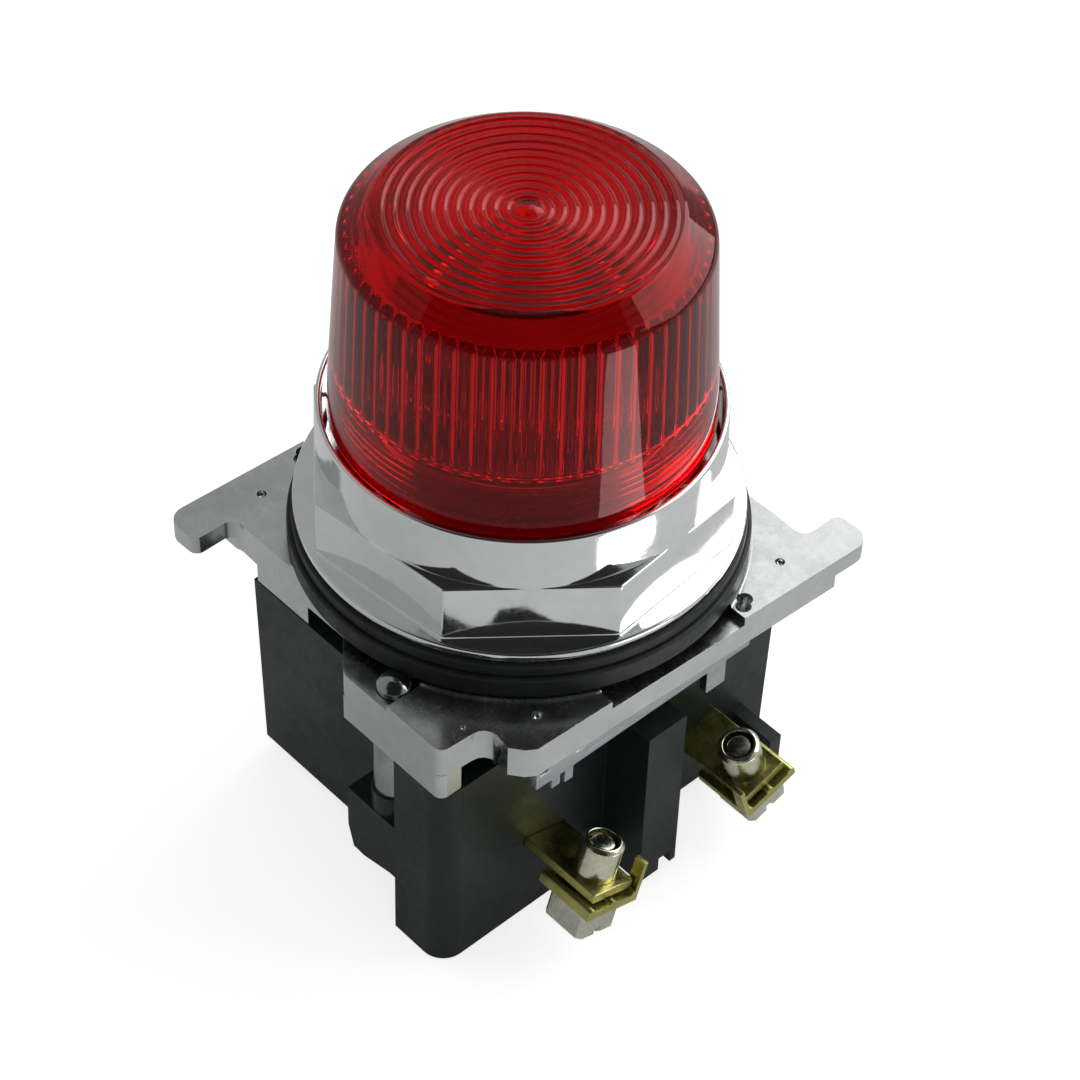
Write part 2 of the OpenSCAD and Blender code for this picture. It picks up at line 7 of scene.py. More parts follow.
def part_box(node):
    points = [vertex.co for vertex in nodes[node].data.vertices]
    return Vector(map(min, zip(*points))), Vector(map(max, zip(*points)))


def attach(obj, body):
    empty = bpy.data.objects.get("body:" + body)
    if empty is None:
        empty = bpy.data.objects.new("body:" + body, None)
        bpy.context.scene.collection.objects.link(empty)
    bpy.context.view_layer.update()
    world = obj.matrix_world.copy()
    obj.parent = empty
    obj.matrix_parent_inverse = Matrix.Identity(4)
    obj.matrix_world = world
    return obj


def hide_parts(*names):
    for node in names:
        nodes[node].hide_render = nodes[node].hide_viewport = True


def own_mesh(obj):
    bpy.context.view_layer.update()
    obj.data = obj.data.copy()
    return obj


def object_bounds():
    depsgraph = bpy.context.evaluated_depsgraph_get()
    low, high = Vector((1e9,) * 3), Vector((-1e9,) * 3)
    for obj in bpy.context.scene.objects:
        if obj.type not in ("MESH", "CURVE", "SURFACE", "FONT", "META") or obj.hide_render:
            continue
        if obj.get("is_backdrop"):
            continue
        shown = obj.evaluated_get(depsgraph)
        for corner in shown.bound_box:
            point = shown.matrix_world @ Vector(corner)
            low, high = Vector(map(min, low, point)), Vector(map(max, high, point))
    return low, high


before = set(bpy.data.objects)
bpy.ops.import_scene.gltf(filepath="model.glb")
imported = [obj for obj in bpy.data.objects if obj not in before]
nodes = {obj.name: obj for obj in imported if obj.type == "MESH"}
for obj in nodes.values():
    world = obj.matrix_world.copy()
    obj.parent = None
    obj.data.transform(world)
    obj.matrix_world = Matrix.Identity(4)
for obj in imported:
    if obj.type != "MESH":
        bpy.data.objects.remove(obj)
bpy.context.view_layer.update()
mm = 0.001
print("frame loaded:", len(nodes), "nodes")

# camera: long lens, looking down at the front corner of the base plate
camera = {
    "lens": 106.7,
    "sensor": 36.0,
    "aim": (3.71, -0.60, -1.23),
    "distance": 314.2,
    "azimuth": 46.0,
    "elevation": 45.4,
    "roll": 2.1,
}


def addCamera(cfg):
    data = bpy.data.cameras.new("viewCamera")
    data.lens = cfg["lens"]
    data.sensor_width = cfg["sensor"]
    data.clip_start = 0.01
    data.clip_end = 20.0
    cam = bpy.data.objects.new("viewCamera", data)
    bpy.context.scene.collection.objects.link(cam)
    turn = (Matrix.Rotation(math.radians(cfg["azimuth"]), 4, "Z")
            @ Matrix.Rotation(math.radians(90 - cfg["elevation"]), 4, "X")
            @ Matrix.Rotation(math.radians(cfg["roll"]), 4, "Z"))
    back = turn @ Vector((0, 0, cfg["distance"] * mm))
    cam.matrix_world = Matrix.Translation(Vector(cfg["aim"]) * mm + back) @ turn
    bpy.context.scene.camera = cam


addCamera(camera)
print("camera placed")


# shared shader groups: they put out masks, values and heights only

def startGroup(name, inputs, outputs):
    group = bpy.data.node_groups.new(name, "ShaderNodeTree")
    for label, kind, value in inputs:
        socket = group.interface.new_socket(name=label, in_out="INPUT", socket_type=kind)
        socket.default_value = value
    for label, kind in outputs:
        group.interface.new_socket(name=label, in_out="OUTPUT", socket_type=kind)
    return group, group.nodes.new("NodeGroupInput"), group.nodes.new("NodeGroupOutput")


def maths(tree, kind, a, b, clamp=False):
    node = tree.nodes.new("ShaderNodeMath")
    node.operation = kind
    node.use_clamp = clamp
    for slot, value in ((0, a), (1, b)):
        if hasattr(value, "is_linked"):
            tree.links.new(value, node.inputs[slot])
        else:
            node.inputs[slot].default_value = value
    return node.outputs[0]


def addNoise(tree, vector, scale, detail, roughness=0.5):
    noise = tree.nodes.new("ShaderNodeTexNoise")
    noise.inputs["Detail"].default_value = detail
    noise.inputs["Roughness"].default_value = roughness
    tree.links.new(vector, noise.inputs["Vector"])
    tree.links.new(scale, noise.inputs["Scale"])
    return noise.outputs["Fac"]


def above(tree, value, floor, gain):
    # how far a value is above a floor, steepened and kept between 0 and 1
    return maths(tree, "MULTIPLY", maths(tree, "SUBTRACT", value, floor), gain, True)


def buildGrainGroup():
    # cloudy unevenness with a finer grain on top of it
    group, gin, gout = startGroup("surfaceGrain", [
        ("Scale", "NodeSocketFloat", 400.0), ("Stretch", "NodeSocketVector", (1, 1, 1)),
        ("Fine", "NodeSocketFloat", 0.35)], [
        ("Mask", "NodeSocketFloat"), ("Height", "NodeSocketFloat")])
    coords = group.nodes.new("ShaderNodeTexCoord")
    scaled = group.nodes.new("ShaderNodeVectorMath")
    scaled.operation = "MULTIPLY"
    group.links.new(coords.outputs["Object"], scaled.inputs[0])
    group.links.new(gin.outputs["Stretch"], scaled.inputs[1])
    broad = addNoise(group, scaled.outputs[0], gin.outputs["Scale"], 4.0, 0.55)
    fine = addNoise(group, scaled.outputs[0], maths(group, "MULTIPLY", gin.outputs["Scale"], 7.0), 2.0)
    centred = maths(group, "SUBTRACT", fine, 0.5)
    both = maths(group, "ADD", broad, maths(group, "MULTIPLY", centred, gin.outputs["Fine"]))
    ramp = group.nodes.new("ShaderNodeMapRange")
    ramp.inputs["From Min"].default_value = 0.32
    ramp.inputs["From Max"].default_value = 0.68
    group.links.new(both, ramp.inputs["Value"])
    group.links.new(ramp.outputs["Result"], gout.inputs["Mask"])
    group.links.new(both, gout.inputs["Height"])
    return group


def buildWearGroup():
    # edges that rub bright: where a rounded normal leaves the true one, broken up by a patchy noise
    group, gin, gout = startGroup("edgeWear", [
        ("Width", "NodeSocketFloat", 0.0003), ("Amount", "NodeSocketFloat", 1.0),
        ("Patches", "NodeSocketFloat", 900.0)], [("Mask", "NodeSocketFloat")])
    bevel = group.nodes.new("ShaderNodeBevel")
    bevel.samples = 4
    group.links.new(gin.outputs["Width"], bevel.inputs["Radius"])
    geo = group.nodes.new("ShaderNodeNewGeometry")
    dot = group.nodes.new("ShaderNodeVectorMath")
    dot.operation = "DOT_PRODUCT"
    group.links.new(bevel.outputs["Normal"], dot.inputs[0])
    group.links.new(geo.outputs["Normal"], dot.inputs[1])
    edge = maths(group, "MULTIPLY", maths(group, "SUBTRACT", 1.0, dot.outputs["Value"]), 6.0, True)
    coords = group.nodes.new("ShaderNodeTexCoord")
    noise = addNoise(group, coords.outputs["Object"], gin.outputs["Patches"], 3.0)
    patchy = above(group, noise, 0.3, 2.6)
    worn = maths(group, "MULTIPLY", maths(group, "MULTIPLY", edge, patchy), gin.outputs["Amount"], True)
    group.links.new(worn, gout.inputs["Mask"])
    return group


def buildDustGroup():
    # thin dust that settles on faces that look up
    group, gin, gout = startGroup("dustFilm", [
        ("Amount", "NodeSocketFloat", 0.2), ("Scale", "NodeSocketFloat", 700.0)],
        [("Mask", "NodeSocketFloat")])
    geo = group.nodes.new("ShaderNodeNewGeometry")
    split = group.nodes.new("ShaderNodeSeparateXYZ")
    group.links.new(geo.outputs["Normal"], split.inputs[0])
    up = above(group, split.outputs["Z"], 0.2, 1.2)
    coords = group.nodes.new("ShaderNodeTexCoord")
    noise = addNoise(group, coords.outputs["Object"], gin.outputs["Scale"], 5.0, 0.7)
    specks = above(group, noise, 0.42, 3.0)
    film = maths(group, "MULTIPLY", maths(group, "MULTIPLY", up, specks), gin.outputs["Amount"], True)
    group.links.new(film, gout.inputs["Mask"])
    return group


grainGroup = buildGrainGroup()
wearGroup = buildWearGroup()
dustGroup = buildDustGroup()
print("shader groups built")


def place(tree, group, **values):
    # one of the shared groups, set up in a material
    node = tree.nodes.new("ShaderNodeGroup")
    node.node_tree = group
    for key, value in values.items():
        node.inputs[key].default_value = value
    return node


def mixColours(tree, factor, a, b):
    node = tree.nodes.new("ShaderNodeMix")
    node.data_type = "RGBA"
    tree.links.new(factor, node.inputs["Factor"])
    for side, value in (("A", a), ("B", b)):
        if hasattr(value, "is_linked"):
            tree.links.new(value, node.inputs[side])
        else:
            node.inputs[side].default_value = (*value, 1)
    return node.outputs["Result"]


def spread(tree, value, low, high):
    node = tree.nodes.new("ShaderNodeMapRange")
    node.inputs["To Min"].default_value = low
    node.inputs["To Max"].default_value = high
    tree.links.new(value, node.inputs["Value"])
    return node.outputs["Result"]


def addBump(tree, shader, height, strength, distance):
    bump = tree.nodes.new("ShaderNodeBump")
    bump.inputs["Strength"].default_value = strength
    bump.inputs["Distance"].default_value = distance * mm
    tree.links.new(height, bump.inputs["Height"])
    tree.links.new(bump.outputs["Normal"], shader.inputs["Normal"])


def principled(name, **sockets):
    mat = bpy.data.materials.new(name)
    mat.use_nodes = True
    shader = mat.node_tree.nodes["Principled BSDF"]
    for key, value in sockets.items():
        shader.inputs[key.replace("_", " ")].default_value = value
    return mat, mat.node_tree, shader


# how much rougher than the rest worn and dusty places are
wornRough = 0.12
dustyRough = 0.25


def finishLook(name, cfg):
    # one opaque finish: two tones in clouds, uneven gloss, fine bump, worn edges and a little dust
    mat, tree, shader = principled(name, Metallic=cfg.get("metal", 0.0), IOR=1.5,
                                   Specular_IOR_Level=cfg.get("specular", 0.5))
    stretch = cfg.get("stretch", (1, 1, 1))
    clouds = place(tree, grainGroup, Scale=cfg["clouds"], Stretch=stretch, Fine=0.5)
    gloss = place(tree, grainGroup, Scale=cfg.get("glossClouds", cfg["clouds"] * 1.7), Stretch=stretch,
                  Fine=0.6)
    colour = mixColours(tree, clouds.outputs["Mask"], cfg["tone"], cfg["tone2"])
    rough = spread(tree, gloss.outputs["Mask"], *cfg["rough"])
    if cfg.get("wear"):
        worn = place(tree, wearGroup, Width=cfg.get("wearWidth", 0.0003), Amount=cfg["wear"],
                     Patches=cfg.get("patches", 900.0))
        colour = mixColours(tree, worn.outputs["Mask"], colour, cfg["wearTone"])
        rough = maths(tree, "ADD", rough, maths(tree, "MULTIPLY", worn.outputs["Mask"], wornRough), True)
    if cfg.get("dust"):
        film = place(tree, dustGroup, Amount=cfg["dust"], Scale=cfg.get("dustScale", 700.0))
        colour = mixColours(tree, film.outputs["Mask"], colour, cfg.get("dustTone", (0.45, 0.45, 0.43)))
        rough = maths(tree, "ADD", rough, maths(tree, "MULTIPLY", film.outputs["Mask"], dustyRough), True)
    tree.links.new(colour, shader.inputs["Base Color"])
    tree.links.new(rough, shader.inputs["Roughness"])
    skin = place(tree, grainGroup, Scale=cfg["bumpScale"], Stretch=cfg.get("bumpStretch", (1, 1, 1)),
                 Fine=cfg.get("bumpFine", 0.5))
    addBump(tree, shader, skin.outputs["Height"], cfg.get("bumpStrength", 1.0), cfg["bump"])
    return mat


def paint(nodeName, mat):
    obj = nodes[nodeName]
    obj.data.materials.clear()
    obj.data.materials.append(mat)


def meshPiece(name, points, faces, body, mat, sharp=35):
    # points in mm; edges steeper than sharp, in degrees, stay crisp
    mesh = bpy.data.meshes.new(name)
    mesh.from_pydata([(x * mm, y * mm, z * mm) for x, y, z in points], [], faces)
    mesh.update()
    obj = bpy.data.objects.new(name, mesh)
    bpy.context.scene.collection.objects.link(obj)
    mesh.materials.append(mat)
    mesh.polygons.foreach_set("use_smooth", [True] * len(mesh.polygons))
    mesh.set_sharp_from_angle(angle=math.radians(sharp))
    weighted = obj.modifiers.new("flatFaces", "WEIGHTED_NORMAL")
    weighted.keep_sharp = True
    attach(obj, body)
    return obj


def turned(rows, angles, loop=True):
    # a body of revolution in mm: each row is a radius, or a function of the angle, and a height
    points, faces, ring = [], [], []
    count = len(angles)
    for radius, height in rows:
        if not callable(radius) and radius < 1e-6:
            ring.append((len(points), 1))
            points.append((0.0, 0.0, height))
            continue
        ring.append((len(points), count))
        for a in angles:
            r = radius(a) if callable(radius) else radius
            points.append((r * math.cos(a), r * math.sin(a), height))
    pairs = list(zip(ring, ring[1:])) + ([(ring[-1], ring[0])] if loop else [])
    for (s0, n0), (s1, n1) in pairs:
        for i in range(count):
            j = (i + 1) % count
            if n0 == 1:
                faces.append((s0, s1 + j, s1 + i))
            elif n1 == 1:
                faces.append((s0 + i, s0 + j, s1))
            else:
                faces.append((s0 + i, s0 + j, s1 + j, s1 + i))
    return points, faces


def evenAngles(count):
    return [2 * math.pi * i / count for i in range(count)]


def roundedCorner(r0, z0, r1, z1, r2, z2, size, steps=4):
    # the corner at (r1, z1) between its neighbours, rounded by a short curve
    a = Vector((r0 - r1, z0 - z1)).normalized() * size
    b = Vector((r2 - r1, z2 - z1)).normalized() * size
    corner = Vector((r1, z1))
    out = []
    for i in range(steps + 1):
        t = i / steps
        p = (1 - t) ** 2 * (corner + a) + 2 * t * (1 - t) * corner + t ** 2 * (corner + b)
        out.append((p.x, p.y))
    return out


def roundedRing(corners):
    # closed profile whose corners each have their own rounding
    rows = []
    for i, (r, z, size) in enumerate(corners):
        before, after = corners[i - 1], corners[(i + 1) % len(corners)]
        rows += roundedCorner(before[0], before[1], r, z, after[0], after[1], size)
    return rows


# boxes that the frame gives, in metres
lensLow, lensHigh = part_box("lens")
nutLow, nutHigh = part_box("bezel_nut")
sealLow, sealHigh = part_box("lens_seal")

# the lens: a ringed disc on a ribbed wall, with a thread inside its foot; sizes in mm
lensCfg = {
    "topRadius": 17.45,     # foot of the shoulder
    "discRadius": 14.2,     # ringed disc
    "shoulderDrop": 2.8,    # from the disc to the foot of the shoulder
    "threadRadius": 14.98,
    "threadCrest": 0.28,
    "threadStep": 0.27,
    "threadRows": 15,       # every third one is a crest
    "wall": 2.1,
    "roof": 2.4,
    "ribs": 60,
    "ribDepth": 0.55,
    "ribFoot": 0.05,        # depth to which the ribs die out
    "sealAround": 0.4,      # room around, under and over the seal
    "sealUnder": 0.05,
    "sealOver": 0.1,
    # the nub in the middle: radius and height over the disc
    "nub": ((0.0, 0.4), (0.35, 0.385), (0.7, 0.3), (1.0, 0.16), (1.3, 0.02)),
    "rings": 11,
    "ringStart": 0.84,
    "ringPitch": 1.14,
    "ringRise": 0.16,
    "ringHalf": 0.38,       # half the width of a ring
    "ringSteps": 6,
    "columns": 480,
    "tone": (0.80, 0.006, 0.009),
    "tone2": (0.73, 0.004, 0.007),
    "clouds": 180.0,
    "depth": 0.012,         # painted glow: strength of a faint red emission of the dyed acrylic, standing in for light it scatters inside itself
    # colour of that painted glow
    "paintedGlowTone": (1.0, 0.03, 0.04, 1),
    "sheenTone": (1.0, 0.34, 0.34, 1),
    "rough": 0.03,
    "ripple": 0.02,
    "rippleScale": 260.0,
    "rippleStrength": 0.5,
}


def lensMesh(cfg):
    footRadius = lensHigh.x / mm
    z0 = lensLow.z / mm
    nubHeight = cfg["nub"][0][1]
    top = lensHigh.z / mm - nubHeight
    shoulder, disc, bore = cfg["topRadius"], cfg["discRadius"], cfg["threadRadius"]
    depth = cfg["ribDepth"]
    ribRadius = shoulder - cfg["wall"] + depth
    sealSeat = sealHigh.x / mm + cfg["sealAround"]
    sealFoot = sealLow.z / mm - cfg["sealUnder"]
    sealTop = sealHigh.z / mm + cfg["sealOver"]
    ribFoot = sealTop + 0.2
    ribTop = top - cfg["roof"] - 0.3

    def ribbed(amount):
        def radius(a):
            return ribRadius + amount * (0.5 - 0.5 * math.cos(cfg["ribs"] * a))
        return radius

    # the disc: a nub in the middle, then the rings
    rows = [(r, top + rise) for r, rise in cfg["nub"]]
    for i in range(1, cfg["rings"] + 1):
        middle = cfg["ringStart"] + i * cfg["ringPitch"]
        for k in range(cfg["ringSteps"] + 1):
            t = k / cfg["ringSteps"]
            rows.append((middle - cfg["ringHalf"] + 2 * cfg["ringHalf"] * t,
                         top - 0.02 + cfg["ringRise"] * math.sin(math.pi * t) ** 1.3))
    rows.append((disc - 0.3, top - 0.02))
    # shoulder, side wall and foot
    rows += roundedCorner(disc - 0.3, top - 0.02, disc + 0.1, top - 0.06, shoulder - 0.16, top - 2.35, 0.3, 5)
    rows += roundedCorner(disc + 0.3, top - 0.24, shoulder - 0.04, top - 2.4, footRadius, z0 + 0.5, 0.6, 8)
    wallTop = top - cfg["shoulderDrop"]
    wallHeight = top - 3.3 - z0
    for t in (0.1, 0.4, 0.7, 0.95):
        rows.append((shoulder + (footRadius - shoulder) * t, wallTop - wallHeight * t))
    rows += roundedCorner(shoulder, wallTop, footRadius, z0 + 0.1, bore, z0, 0.35, 5)
    # thread crests inside the skirt, then the seat of the seal
    rows += [(bore + 0.2, z0), (bore, z0 + 0.2)]
    for k in range(1, cfg["threadRows"] + 1):
        rows.append((bore + (0.0 if k % 3 else cfg["threadCrest"]), z0 + 0.2 + k * cfg["threadStep"]))
    rows += [(bore, sealFoot), (sealSeat, sealFoot), (sealSeat, sealTop),
             (ribRadius - 0.2, sealTop), (ribRadius - 0.2, ribFoot)]
    # ribs on the inside of the wall, which die out at both ends
    rows += [(ribbed(cfg["ribFoot"]), ribFoot), (ribbed(0.35), ribFoot + 0.12),
             (ribbed(depth), ribFoot + 0.4)]
    for t in (0.2, 0.4, 0.6, 0.8):
        rows.append((ribbed(depth), ribFoot + 0.4 + (ribTop - ribFoot - 1.2) * t))
    rows += [(ribbed(depth), ribTop - 0.6), (ribbed(0.45), ribTop - 0.2), (ribbed(0.25), ribTop)]
    # underside of the roof
    rows += [(ribRadius - 0.4, ribTop + 0.02), (disc - 1.9, ribTop + 0.02), (disc - 2.2, ribTop + 0.3)]
    rows += [(r, ribTop + 0.3) for r in (10.0, 7.0, 4.0, 1.5, 0.0)]
    rows.reverse()
    return turned(rows, evenAngles(cfg["columns"]), loop=False)


def lensLook(cfg):
    # clear red acrylic: deep colour that hardly varies, a painted faint red glow from its emission, and the
    # slight ripple of a moulding
    # the emission below is a painted glow, not light from a lamp
    mat, tree, shader = principled("redAcrylic", Roughness=cfg["rough"], IOR=1.49, Transmission_Weight=1.0,
                                   Specular_Tint=cfg["sheenTone"], Emission_Color=cfg["paintedGlowTone"],
                                   Emission_Strength=cfg["depth"])
    clouds = place(tree, grainGroup, Scale=cfg["clouds"], Fine=0.2)
    colour = mixColours(tree, clouds.outputs["Mask"], cfg["tone"], cfg["tone2"])
    tree.links.new(colour, shader.inputs["Base Color"])
    ripple = place(tree, grainGroup, Scale=cfg["rippleScale"], Fine=0.06)
    addBump(tree, shader, ripple.outputs["Height"], cfg["rippleStrength"], cfg["ripple"])
    return mat


lensPoints, lensFaces = lensMesh(lensCfg)
lens = meshPiece("lensShell", lensPoints, lensFaces, "lens_spin", lensLook(lensCfg), 28)
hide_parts("lens")
print("lens made:", len(lensFaces), "faces")

# bezel nut: eight flats between a round flange and a turned rim
nutCfg = {
    "flats": 20.0,        # half the size across flats
    "turn": 5.6,          # degrees, middle of the first flat
    "cornerRound": 0.35,
    "octTop": 9.4,
    "flangeThick": 0.8,
    "collarRadius": 19.94,
    "rimRadius": 19.8,
    "cupRadius": 19.25,
    "cupFloor": 8.8,
    "boreRadius": 14.98,
    "lip": 0.27,          # half the thickness of the turned rim
    "cornerColumns": 44,  # columns of points to a flat, closer together near its corners
    "look": dict(tone=(0.90, 0.91, 0.91), tone2=(0.82, 0.84, 0.84), clouds=120.0, rough=(0.06, 0.13),
                 metal=1.0, bump=0.05, bumpScale=150.0, bumpFine=0.05, bumpStrength=0.6,
                 glossClouds=260.0, wear=0.25, wearTone=(0.9, 0.9, 0.9), wearWidth=0.0002),
}


def nutAngles(cfg):
    out = []
    for flat in range(8):
        for i in range(cfg["cornerColumns"]):
            t = -1 + 2 * i / cfg["cornerColumns"]
            bend = math.copysign(1 - (1 - abs(t)) ** 2.2, t) if t else 0.0
            out.append(math.radians(cfg["turn"] + 45 * flat + 22.5 * bend))
    return out


def octagon(cfg, inset=0.0):
    # radius of the octagon at an angle: straight along a flat, round at a corner
    half = cfg["flats"] - inset
    corner = cfg["cornerRound"]
    eighth = math.radians(22.5)

    def radius(angle):
        turn = math.radians(abs((math.degrees(angle) - cfg["turn"] + 22.5) % 45 - 22.5))
        if half * math.tan(turn) <= (half - corner) * math.tan(eighth):
            return half / math.cos(turn)
        centre = (half - corner) / math.cos(eighth)
        off = eighth - turn
        return centre * math.cos(off) + math.sqrt(max(corner * corner - (centre * math.sin(off)) ** 2, 0.0))
    return radius


def nutMesh(cfg):
    z0, z1 = nutLow.z / mm, nutHigh.z / mm
    flange = nutHigh.x / mm
    flangeTop = z0 + cfg["flangeThick"]
    collar, rim, cup, bore = cfg["collarRadius"], cfg["rimRadius"], cfg["cupRadius"], cfg["boreRadius"]
    shoulder, floor, lip = cfg["octTop"], cfg["cupFloor"], cfg["lip"]
    side = octagon(cfg)
    foot = [(lambda a, s=s: side(a) + s) for s in (0.32, 0.14, 0.04)]

    def shelf(inset):
        inner = octagon(cfg, inset)
        return lambda a: max(inner(a), collar + 0.02)

    rows = [(bore + 0.15, z0)]
    rows += roundedCorner(0, z0, flange, z0, flange, flangeTop, 0.2)
    rows += roundedCorner(flange, z0, flange, flangeTop, 0, flangeTop, 0.3, 5)
    # the eight flats, with a small fillet at the foot and a broken edge at the top
    rows += [(foot[0], flangeTop), (foot[1], flangeTop + 0.05), (foot[2], flangeTop + 0.15),
             (side, flangeTop + 0.32), (side, flangeTop + 0.5), (side, shoulder - 0.4),
             (side, shoulder - 0.16), (shelf(0.03), shoulder - 0.06), (shelf(0.1), shoulder - 0.01),
             (shelf(0.2), shoulder)]
    # collar and turned rim
    rows += [(collar + 0.02, shoulder + 0.005), (collar, shoulder + 0.06), (collar - 0.005, shoulder + 0.3),
             (rim + 0.02, z1 - 0.5)]
    rows += [(rim - lip + lip * math.cos(t), z1 - 0.28 + 0.28 * math.sin(t))
             for t in (math.radians(d) for d in range(0, 163, 18))]
    # the cup that the lens sits in, and the bore
    rows += [(cup + 0.01, z1 - 0.3), (cup, z1 - 0.6), (cup, floor + 0.3), (cup - 0.1, floor + 0.08),
             (cup - 0.3, floor), (bore + 0.3, floor), (bore, floor - 0.25), (bore, z0 + 0.15)]
    return turned(rows, nutAngles(cfg))


nutPoints, nutFaces = nutMesh(nutCfg)
chromeLook = finishLook("brightChrome", nutCfg["look"])
nut = meshPiece("nutBody", nutPoints, nutFaces, "nut_spin", chromeLook, 50)
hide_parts("bezel_nut")

# washer, gaskets and seal: half of each one's bore, and how far its outer edge is rounded
washerCfg = {
    "bore": 15.3,
    "edge": 0.12,
    "look": dict(tone=(0.62, 0.64, 0.65), tone2=(0.5, 0.52, 0.53), clouds=300.0, rough=(0.12, 0.3), metal=1.0,
                 bump=0.01, bumpScale=900.0),
}
gasketCfg = {
    "bore": 15.25,
    "edge": 0.35,
    "look": dict(tone=(0.008, 0.010, 0.009), tone2=(0.014, 0.017, 0.016), clouds=240.0, rough=(0.38, 0.6),
                 specular=0.35, bump=0.03, bumpScale=1600.0, dust=0.12, dustScale=1800.0,
                 dustTone=(0.08, 0.085, 0.082)),
}
sealCfg = {
    "bore": 13.43,
    "edge": 0.3,
}
ringColumns = 192
rubberLook = finishLook("blackRubber", gasketCfg["look"])


def flatRing(name, node, cfg, body, mat):
    # a washer or gasket as large as its CAD node, its outer edges rounded more than its bore
    low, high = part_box(node)
    r1, z0, z1, bore, edge = high.x / mm, low.z / mm, high.z / mm, cfg["bore"], cfg["edge"]
    rows = roundedRing([(bore, z0, edge * 0.4), (r1, z0, edge), (r1, z1, edge), (bore, z1, edge * 0.4)])
    points, faces = turned(rows, evenAngles(ringColumns))
    piece = meshPiece(name, points, faces, body, mat)
    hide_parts(node)


washerLook = finishLook("washerPlate", washerCfg["look"])
flatRing("nutWasher", "nut_washer", washerCfg, "nut_slide", washerLook)
flatRing("frontGasket", "front_gasket", gasketCfg, "base", rubberLook)
flatRing("rearGasket", "rear_gasket", gasketCfg, "base", rubberLook)
flatRing("lensSeal", "lens_seal", sealCfg, "lens_slide", rubberLook)
print("nut, washer, gaskets and seal made")

# threaded ends of the terminal screws, inside their bushes
tipCfg = {
    "radius": 1.44,
    "pitch": 0.5,
    "depth": 0.16,
    "low": 5.0,        # heights along the screw, from its own zero in the CAD
    "high": 6.75,
    "shankTop": 5.3,
    "headLow": -3.3,
    "headRadius": 2.6,
    "shankRadius": 1.5,
    "lean": 17.0,      # degrees from upright
    "columns": 48,
    "look": dict(tone=(0.70, 0.69, 0.58), tone2=(0.52, 0.50, 0.38), clouds=500.0, rough=(0.15, 0.3),
                 metal=1.0, bump=0.02, bumpScale=900.0),
}
tipLook = finishLook("screwThread", tipCfg["look"])


def threadTip(name, screwNode, side, body, cfg):
    # the screw's own box gives where it stands: its head reaches one side of the box, its shank the top
    low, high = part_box(screwNode)
    lean = math.radians(cfg["lean"])
    tilt = Matrix.Rotation(side * lean, 4, "X")
    reach = max(side * (tilt @ Vector((0, s * cfg["headRadius"], cfg["headLow"]))).y for s in (-1, 1))
    x = (low.x + high.x) / 2 / mm
    y = (high.y if side > 0 else low.y) / mm - side * reach
    z = high.z / mm - (tilt @ Vector((0, 0, cfg["shankTop"]))).z - cfg["shankRadius"] * math.sin(lean)
    radius, low, high, step = cfg["radius"], cfg["low"], cfg["high"], cfg["pitch"] / 2
    rows = [(0.0, low)]
    for i in range(int((high - 0.3 - low) / step) + 1):
        rows.append((radius - (cfg["depth"] if i % 2 else 0), low + 0.02 + i * step))
    rows += [(radius - 0.25, high - 0.15), (radius - 0.6, high - 0.03), (0.0, high)]
    points, faces = turned(rows, evenAngles(cfg["columns"]), loop=False)
    stand = Matrix.Translation(Vector((x, y, z))) @ tilt
    meshPiece(name, [tuple(stand @ Vector(p)) for p in points], faces, body, tipLook)


threadTip("screwTipA", "terminal_screw_a", -1, "screw_a", tipCfg)
threadTip("screwTipB", "terminal_screw_b", 1, "screw_b", tipCfg)

# the coil spring under the centre contact, pressed together as the bulb goes in
springCfg = {
    "coil": 2.0,
    "wire": 0.28,
    "turns": 5,
    "flatEnd": 0.12,     # share of the wire at the two ends together that lies level
    "travel": 2.0,
    "shy": 0.02,         # the top coil stops this far below the contact it carries
    "stepsPerTurn": 36,
    "columns": 12,
    "look": dict(tone=(0.55, 0.57, 0.58), tone2=(0.45, 0.46, 0.48), clouds=500.0, rough=(0.12, 0.25),
                 metal=1.0, bump=0.01, bumpScale=1500.0),
}


def coilSpring(cfg):
    low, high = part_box("contact_spring")
    z0, z1 = low.z / mm, high.z / mm - cfg["shy"]
    wire, flat = cfg["wire"], cfg["flatEnd"]
    along, around = cfg["stepsPerTurn"] * cfg["turns"], cfg["columns"]
    points, faces = [], []
    for i in range(along + 1):
        share = i / along
        angle = 2 * math.pi * cfg["turns"] * share
        climb = min(max((share - flat / 2) / (1 - flat), 0), 1)
        height = z0 + wire + climb * (z1 - z0 - 2 * wire)
        for turn in evenAngles(around):
            r = cfg["coil"] + wire * math.cos(turn)
            points.append((r * math.cos(angle), r * math.sin(angle), height + wire * math.sin(turn)))
    for i in range(along):
        here, ahead = i * around, (i + 1) * around
        for j in range(around):
            k = (j + 1) % around
            faces.append((here + j, ahead + j, ahead + k, here + k))
    faces.append(tuple(range(around)))
    faces.append(tuple(along * around + j for j in reversed(range(around))))
    wireLook = finishLook("springWire", cfg["look"])
    piece = meshPiece("coilSpring", points, faces, "base", wireLook, sharp=60)
    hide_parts("contact_spring")
    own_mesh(piece)


coilSpring(springCfg)
print("screw ends and spring made")

